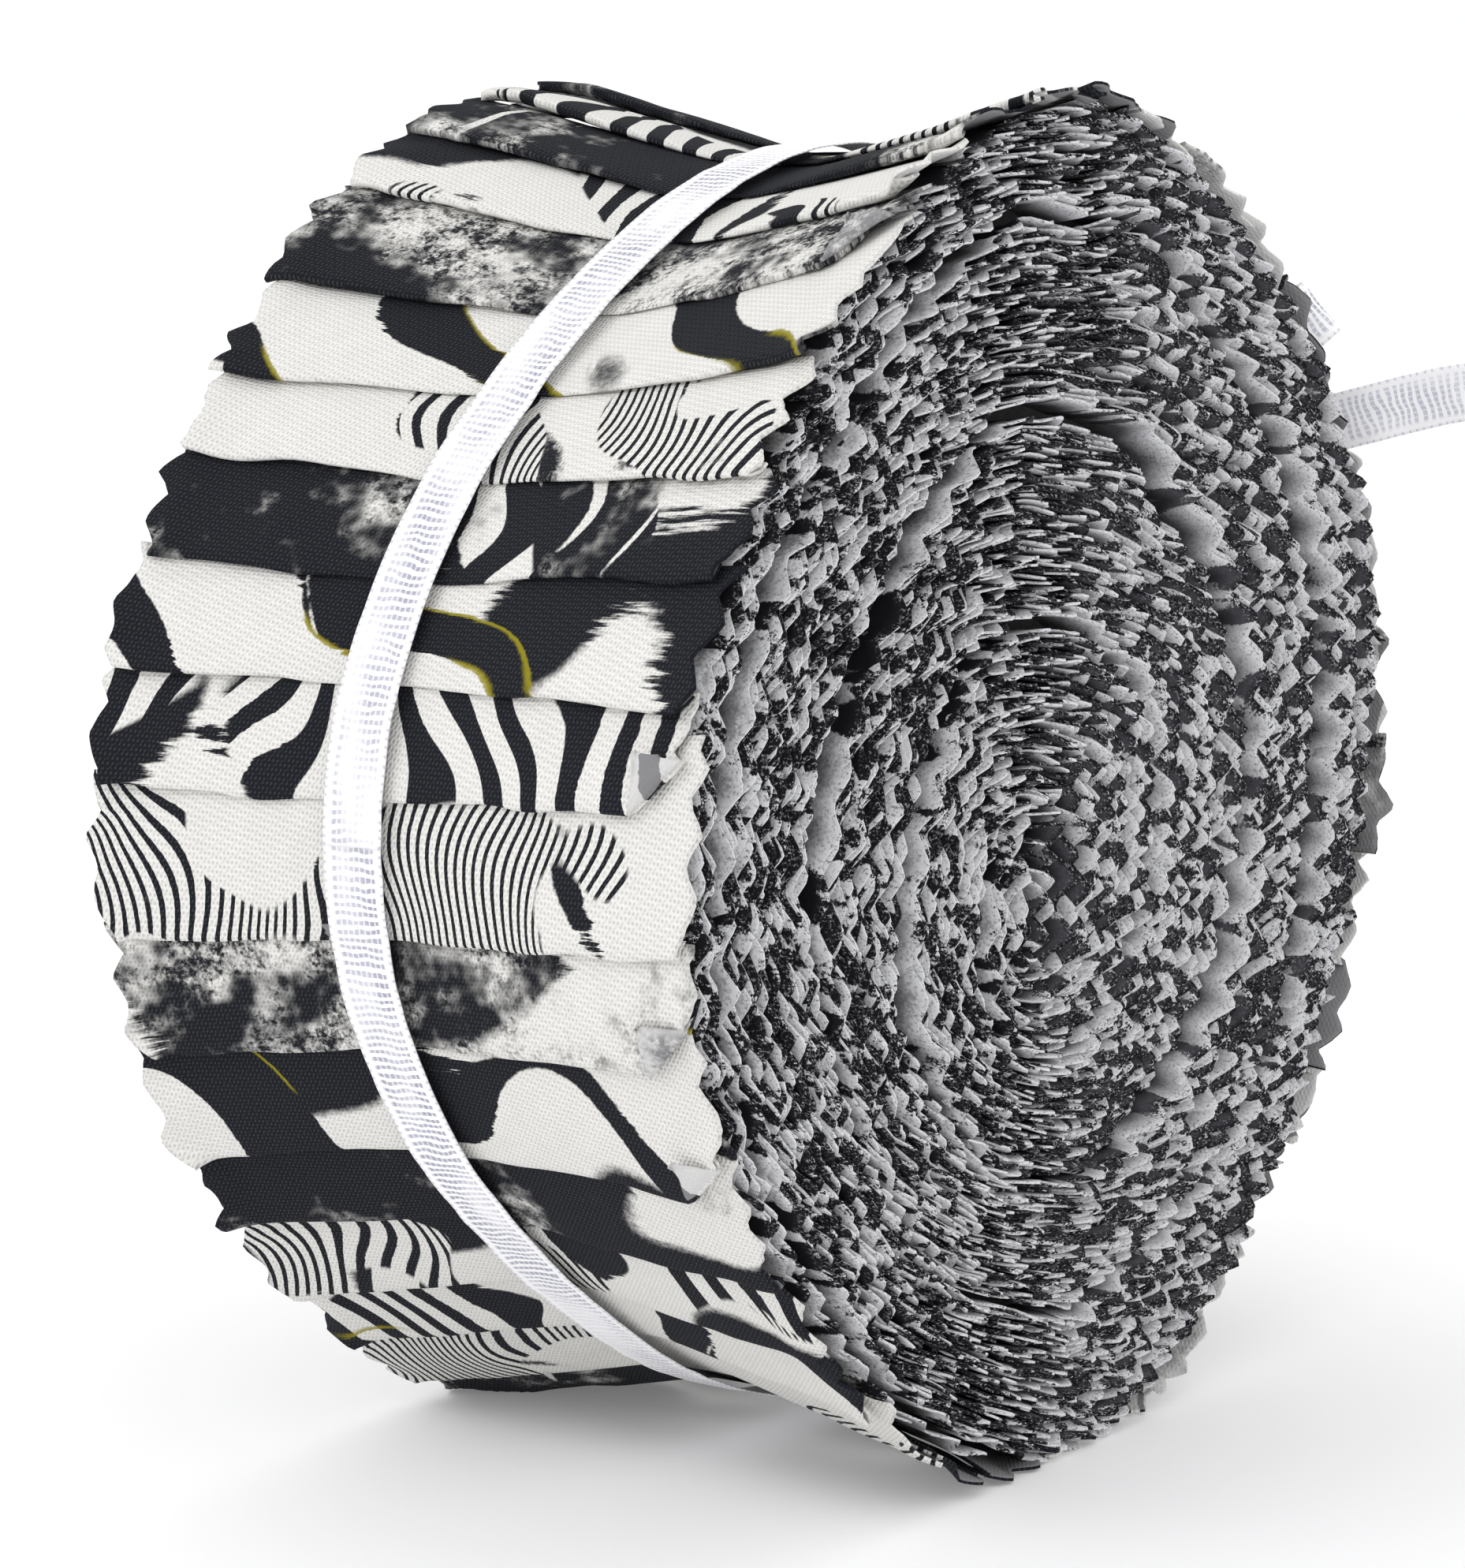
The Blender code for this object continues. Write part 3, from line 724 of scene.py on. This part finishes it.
def cottonLayers():
    look = layerLook
    finish = Finish("cotton layers")
    place = clothPlace(finish)[1]
    big = finish.noise(finish.scaled(place, look["patches"]), 1.0, 2.0, 0.6)
    fuzz = finish.noise(place, look["fuzz"], 2.0, 0.7)
    ink = finish.step(big + (fuzz - 0.5) * 0.10 - finish.mark("pale") * 0.10, *look["inkRange"])
    worn = finish.step(fuzz * 0.6 + finish.noise(place, look["wear"], 3.0, 0.7) * 0.4, *look["wornRange"])
    face = finish.mix(ink, finish.mix(worn, look["pale"], look["worn"]), look["ink"])
    back = finish.mix(ink * look["inkThrough"], finish.mix(worn, look["reverse"], look["worn"]), look["inkReverse"])
    cut = finish.mix(finish.step(fuzz + ink * 0.26, *look["cutRange"]), look["fibre"], look["ink"])
    side = finish.mark("side")
    colour = finish.mix(finish.step(side, -look["turnOver"], look["turnOver"]), back, face)
    edge = 1 - finish.step(finish.maths("ABSOLUTE", side), *look["cutEdge"])
    colour = finish.mix(edge, colour, cut)
    # painted shade: the layers darken with depth below their tips, where the gaps between them fall in shade
    deep = finish.step(finish.mark("deep"), *look["paintedDepthShadeRange"]) * look["paintedDepthShadeShare"]
    finish.give({
        "Base Color": finish.mix(deep, colour, look["depth"]),
        "Normal": finish.bump(fuzz, look["relief"], look["reliefDepth"]),
        "Roughness": look["rough"], "Specular IOR Level": look["specular"],
    })
    return finish.material


def insideFinish():
    # painted shade: a near-black, speckled finish for the disc that stands for the shade deep in the winding
    finish = Finish("inside of the winding")
    spot = finish.node("ShaderNodeTexCoord", {}, {}, out=3)
    finish.give({
        "Base Color": finish.mix(finish.noise(spot, layerLook["insideSpots"]), *layerLook["inside"]),
        "Roughness": layerLook["insideRough"],
    })
    return finish.material


layerMaterial = cottonLayers()
insideMaterial = insideFinish()
print("layer finishes made")

winding = dict(
    stackPitch=15.5, reach=61.8, depth=5.5, thick=0.29, tipThick=0.23, bundleArms=31, turnStep=0.012,
    toothPitch=5.6, tooth=1.3, base=-0.4,
    gap=2.3, gapWander=0.9, gapReach=6.0,       # the slit between one turn of the stack and the next
    coreReach=8.5, coreArms=4, corePitch=3.2, coreStart=1.0,
    coreLean=math.radians(80), coreLong=0.40, coreNarrow=0.18, coreFade=12.0,
    centre=(-8.0, -12.0), centrePower=1.15, sway=1.3, swayLong=13.0, waver=0.5, waverLong=5.0,
    # the next three place the disc of painted shade behind the layers and set how round it is
    insideGap=2.6, insideRaised=0.4, insideCorners=96,
)
# A layer's outline across its wall: share of the height, side of the wall, and the mark for the finish.
layerProfile = [(0.0, -1, -1.0), (0.68, -1, -1.0), (1.0, -1, -0.45), (1.0, 1, 0.45), (0.68, 1, 1.0), (0.0, 1, 1.0)]
faces = [
    dict(name="near_face", side=1, arms=39, perTooth=8, pieces=3, start=math.radians(60), seed=0),
    dict(name="far_face", side=-1, arms=20, perTooth=6, pieces=1, start=math.radians(200), seed=4),
]


def onFace(rho, turn):
    # the winding's middle lies off centre, and is drawn long there
    share = np.clip(rho / winding["reach"], 0, 1)
    radius = rho * (1 + (roundRadius(turn) / drum["radius"] - 1) * share)
    y, z = -radius * np.cos(turn), radius * np.sin(turn)
    c, s = math.cos(winding["coreLean"]), math.sin(winding["coreLean"])
    near = np.exp(-(rho / winding["coreFade"]) ** 2)
    along, across = y * c + z * s, -y * s + z * c
    along, across = along * (1 + winding["coreLong"] * near), across * (1 - winding["coreNarrow"] * near)
    y, z = along * c - across * s, along * s + across * c
    fade = (1 - share) ** winding["centrePower"]
    return y + winding["centre"][0] * fade, z + winding["centre"][1] * fade


def layerLine(arm, face, stack):
    # one layer's path, which winds outwards as the turn falls; the core's four wind on their own
    if stack:
        low, high, first, pitch = winding["coreReach"], winding["reach"], winding["coreReach"], winding["stackPitch"]
        begin = face["start"] - math.tau * arm / face["arms"]
    else:
        low, high, pitch = winding["coreStart"], winding["coreReach"], winding["corePitch"]
        first, begin = low + pitch * arm / winding["coreArms"], face["start"]
    unwound = np.arange(0, (high - first) / pitch * math.tau, winding["turnStep"])
    turn = begin - unwound
    rho = first + pitch * unwound / math.tau
    if stack:
        facing = np.cos(turn - 0.25)
        slit = winding["gap"] * (0.30 + 0.70 * np.clip(facing, 0, 1) + 0.25 * np.clip(-facing, 0, 1))
        slit = np.maximum(0.0, slit + winding["gapWander"] * wander(turn * 1.5, 0, 77))
        rho = rho + slit * (arm / face["arms"] - 0.5) * np.clip((rho - low) / winding["gapReach"], 0, 1)
    sway = np.zeros(len(turn))
    for reach, size, shift, seed in (
        (winding["sway"], winding["swayLong"], 40, 3), (winding["waver"], winding["waverLong"], 70, 4),
    ):
        sway = sway + reach * wander(
            rho / size * np.cos(turn) + shift, rho / size * np.sin(turn) + shift, seed + face["seed"])
    return turn, rho, np.stack(onFace(rho + sway, turn), -1)


def layerSheet(arm, face, stack):
    seed, arms = face["seed"], face["arms"]
    turn, rho, line = layerLine(arm, face, stack)
    run = runAlong(line)
    steps = np.arange(0, run[-1], winding["toothPitch"] / face["perTooth"])
    front = np.interp(steps, run, np.clip(np.cos(turn), 0, 1))
    back = np.interp(steps, run, np.clip(-np.cos(turn), 0, 1))
    share = np.interp(steps, run, rho) / winding["reach"]
    line = np.stack([np.interp(steps, run, line[:, i]) for i in range(2)], -1)
    ahead = unit(np.gradient(line, axis=0))
    outward = np.stack([-ahead[:, 1], ahead[:, 0]], -1)
    outward *= np.sign(np.sum(outward * line, -1, keepdims=True).mean())

    # the pinked teeth, which drift from layer to layer
    phase = steps / winding["toothPitch"] + 0.14 * wander(arm * 1.3, steps / 16, 15 + seed)
    phase = phase + (0.12 + 0.45 * front) * wander(arm * 5.9, steps / 60, 14)
    wave = triangle(phase)
    wave = 0.55 * wave + 0.45 * np.sin(wave * math.pi / 2)
    whole = np.floor(phase)

    # the height: layers stand in bundles, and the stack's outer and inner layers rise or sink
    rank = arm * winding["bundleArms"] / arms if stack else arm
    bundle = rank * 0.36 + 30 * seed
    outer = max(0.0, 1 - rank / 2) if stack else 0.0
    inner = max(0.0, 1 - (arms - 1 - arm) / arms * winding["bundleArms"] / 3) if stack else 0.0
    tooth = winding["tooth"] * wave * (0.85 + 0.25 * wander(whole, arm * 3.1, 17)) * (1 - 0.3 * front + 0.15 * back)
    height = (
        winding["base"] + tooth + (0.75 + 0.75 * back) * wander(bundle, steps / 30, 18)
        + 0.34 * wander(arm * 7.7, steps / 8, 19)
        + 0.5 * wander(line[:, 0] / 11, line[:, 1] / 11, 20 + seed)
    )
    height = height + (0.8 * front - 0.8 * back) * outer + (0.7 + 1.2 * back - 1.6 * front) * inner
    lean = (
        0.9 * share * (1 - 0.6 * front) + (0.2 * front + 0.7 * back) * np.sin(share * math.pi) ** 0.7
        + 0.45 * wander(line[:, 0] / 7 + 50, line[:, 1] / 7, 22 + seed)
        + 0.42 * wander(bundle * 1.3 + 9, steps / 11, 25) + 0.14 * wander(arm * 5.3, steps / 4, 23)
        + 0.50 * np.clip(wave, -0.3, 1) * wander(whole * 1.7, rank * 0.7, 24)
    )

    rows, marks, flat, deep = [], [], [], []
    for up, wall, mark in layerProfile[::face["side"]]:
        x = drum["halfWidth"] - winding["depth"] + (winding["depth"] + height) * up
        away = lean * up ** 1.6 + wall * lerp(winding["thick"], winding["tipThick"], up) / 2
        spot = line + outward * away[:, None]
        rows.append(np.stack([face["side"] * x, spot[:, 0], spot[:, 1] + drum["centreHeight"]], -1))
        marks.append(np.full(len(steps), mark))
        # the depth below the tip, which sets the painted shade in the layer finish
        deep.append((winding["depth"] + height) * (1 - up))
        flat.append(np.stack([x + 0.4 * mark, steps], -1))
    place = np.stack(rows, 0)
    place[..., 2] = np.maximum(place[..., 2], drum["clear"])
    pick = random.Random(arm * 13 + 7 * seed + (500 if stack else 0)).random()
    return dict(place=place, uv=np.stack(flat, 0), marks=dict(
        side=np.stack(marks, 0), deep=np.stack(deep, 0), pick=pick, pale=inner + 0.6 * outer))


def makeShadeDisc(name, side):
    # a near-black disc behind the layers: painted shade that stands for the shade deep between them
    disc = bmesh.new()
    bmesh.ops.create_circle(disc, cap_ends=True, segments=winding["insideCorners"], radius=1.0)
    bmesh.ops.rotate(disc, verts=disc.verts, matrix=Matrix.Rotation(side * math.pi / 2, 3, "Y"))
    for corner in disc.verts:
        corner.co *= (roundRadius(math.atan2(corner.co.z, -corner.co.y)) - winding["insideGap"]) * mm
    out = side * (drum["halfWidth"] - winding["depth"] + winding["insideRaised"])
    bmesh.ops.translate(disc, verts=disc.verts, vec=Vector((out, 0, drum["centreHeight"])) * mm)
    mesh = bpy.data.meshes.new(name)
    disc.to_mesh(mesh)
    disc.free()
    mesh.materials.append(insideMaterial)
    inside = addObject(name, mesh)
    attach(inside, body)
    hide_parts("roll")


def makeFace(face):
    core = [layerSheet(arm, face, False) for arm in range(winding["coreArms"])]
    layers = [layerSheet(arm, face, True) for arm in range(face["arms"])]
    share = math.ceil(len(layers) / face["pieces"])
    for part in range(face["pieces"]):
        sheets = layers[part * share:(part + 1) * share] + (core if part == 0 else [])
        name = f"{face['name']}_{part + 1}"
        piece = makeCloth(name, sheets, "roll", [layerMaterial])
        print(name, "triangles", 2 * len(piece.data.polygons))
    makeShadeDisc(face["name"] + "_inside", face["side"])


for face in faces:
    makeFace(face)
print("end faces made")


# Floor and light.
studio = dict(
    floor=(0.88, 0.88, 0.89, 1.0), floorRough=0.8, glow=0.14, floorHalf=40.0, white=(1.0, 1.0, 1.0, 1.0), world=1.02,
    aim=(0, 0, 0.06),           # m
    lights=dict(                # power, size and place in m
        key=(2.6, 0.6, (-0.45, -0.80, 0.65)),
        fill=(0.5, 0.7, (0.95, -0.35, 0.45)),
        top=(0.6, 0.8, (0.05, 0.25, 0.95)),
    ),
)


def makeStudio():
    shape = bmesh.new()
    bmesh.ops.create_grid(shape, x_segments=1, y_segments=1, size=studio["floorHalf"])
    mesh = bpy.data.meshes.new("floor")
    shape.to_mesh(mesh)
    shape.free()
    finish = Finish("pale floor")
    finish.give({"Base Color": studio["floor"], "Roughness": studio["floorRough"],
                 "Emission Color": studio["white"], "Emission Strength": studio["glow"]})
    mesh.materials.append(finish.material)
    addObject("floor", mesh)
    world = bpy.data.worlds.new("studio")
    world.use_nodes = True
    background = world.node_tree.nodes["Background"]
    background.inputs["Color"].default_value = studio["white"]
    background.inputs["Strength"].default_value = studio["world"]
    bpy.context.scene.world = world
    bpy.context.scene.view_settings.view_transform = "Standard"
    for name, (power, size, spot) in studio["lights"].items():
        data = bpy.data.lights.new(name, "AREA")
        data.energy = power
        data.size = size
        light = addObject(name, data)
        light.location = spot
        light.rotation_euler = (Vector(spot) - Vector(studio["aim"])).to_track_quat("Z", "Y").to_euler()


makeStudio()
print("studio made")
